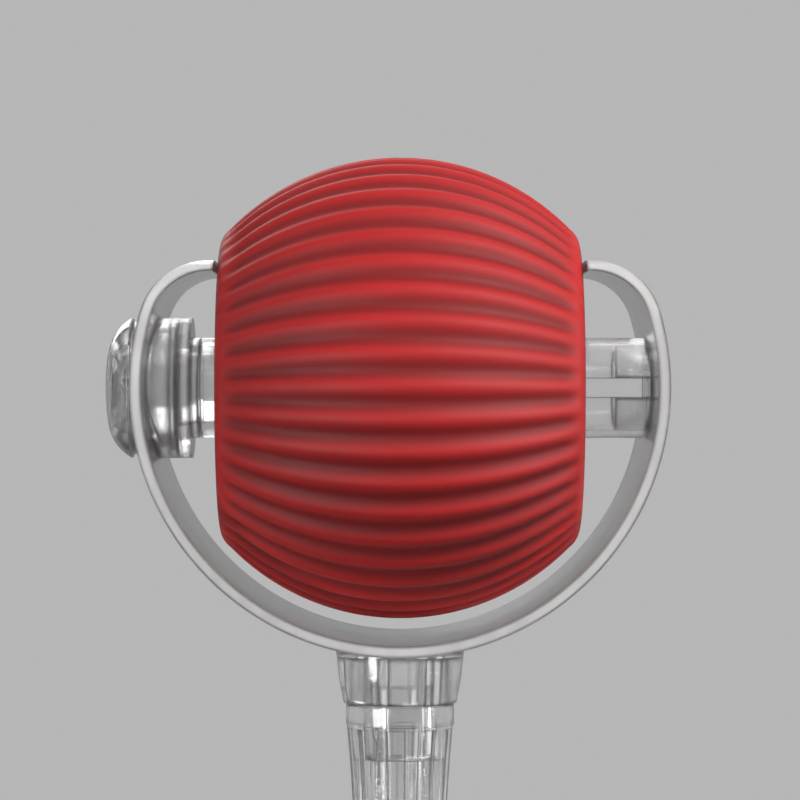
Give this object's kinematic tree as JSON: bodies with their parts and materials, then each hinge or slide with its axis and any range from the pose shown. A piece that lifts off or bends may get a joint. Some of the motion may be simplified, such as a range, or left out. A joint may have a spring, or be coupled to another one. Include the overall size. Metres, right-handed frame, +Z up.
{
  "type": "motorised cat ball on a hand-held fork",
  "caption": "Ribbed barrel-shaped cat ball that turns on an axle in a clear hand-held fork with a fluted grip, a side locking knob and a geared motor inside the ball.",
  "frame": {"origin": "centre of the flat lower end of the handle", "axes": "+Z up along the handle to the ball, +X along the axle away from the locking knob, +Y to the back"},
  "size_m": [0.0965, 0.08, 0.212],
  "materials": {
    "red_silicone": "soft matt silicone",
    "clear_plastic": "clear moulded, glossy",
    "white_plastic": "fine moulded grain",
    "black_plastic": "moulded",
    "acetal": "smooth, waxy",
    "steel": "bright",
    "zinc": "die cast, dull",
    "battery_foil": "foil wrapped",
    "board_green": "solder mask",
    "plated_steel": "plated",
    "red_rubber": "matt",
    "lens_plastic": "milky clear"
  },
  "bodies": {
    "holder": {"fork": "clear_plastic", "handle_grip": "clear_plastic", "handle_end_cap": "clear_plastic", "neck_plug": "clear_plastic", "axle_tube": "clear_plastic", "axle_gear": "acetal", "pendulum_weight": "zinc", "weight_screw": "steel"},
    "ball": {"ribbed_sleeve": "red_silicone", "left_shell": "white_plastic", "right_shell": "white_plastic", "belt_screws": "steel", "left_end_cover": "white_plastic", "right_end_cover": "white_plastic", "left_cover_screws": "steel", "right_cover_screws": "steel", "left_bush": "acetal", "right_bush": "acetal", "drive_frame": "black_plastic", "gearbox_housing": "black_plastic", "motor_can": "steel", "motor_screws": "steel", "battery_pack": "battery_foil", "circuit_board": "board_green", "charge_socket": "plated_steel", "tact_switch": "plated_steel", "status_lens": "lens_plastic"},
    "pinion": {"drive_pinion": "acetal", "motor_shaft": "steel"},
    "knob": {"release_knob": "clear_plastic"},
    "plunger": {"lock_plunger": "clear_plastic"},
    "button": {"power_button": "red_rubber"},
    "plug": {"port_plug": "red_rubber"}
  },
  "joints": [
    {"name": "ball_spin", "type": "hinge", "parent": "holder", "child": "ball", "pos_m": [0, 0, 0.172], "axis": [1, 0, 0], "continuous": true},
    {"name": "pinion_spin", "type": "hinge", "parent": "ball", "child": "pinion", "pos_m": [0, 0, 0.192], "axis": [1, 0, 0], "continuous": true},
    {"name": "knob_turn", "type": "hinge", "parent": "holder", "child": "knob", "pos_m": [-0.045, 0, 0.172], "axis": [1, 0, 0], "range_deg": [0, 90]},
    {"name": "plunger_slide", "type": "slide", "parent": "holder", "child": "plunger", "axis": [-1, 0, 0], "range_m": [0, 0.0045]},
    {"name": "button_press", "type": "slide", "parent": "ball", "child": "button", "axis": [1, 0, 0], "range_m": [0, 0.00045], "stiffness_N_per_m": 2500, "springref_m": -0.0002},
    {"name": "plug_pull", "type": "slide", "parent": "ball", "child": "plug", "axis": [-1, 0, 0], "range_m": [0, 0.003]}
  ],
  "couplings": [
    {"joint": "pinion_spin", "follows": "ball_spin", "ratio": 2.5714},
    {"joint": "knob_turn", "follows": "plunger_slide", "rad_per_m": 349.06}
  ]
}
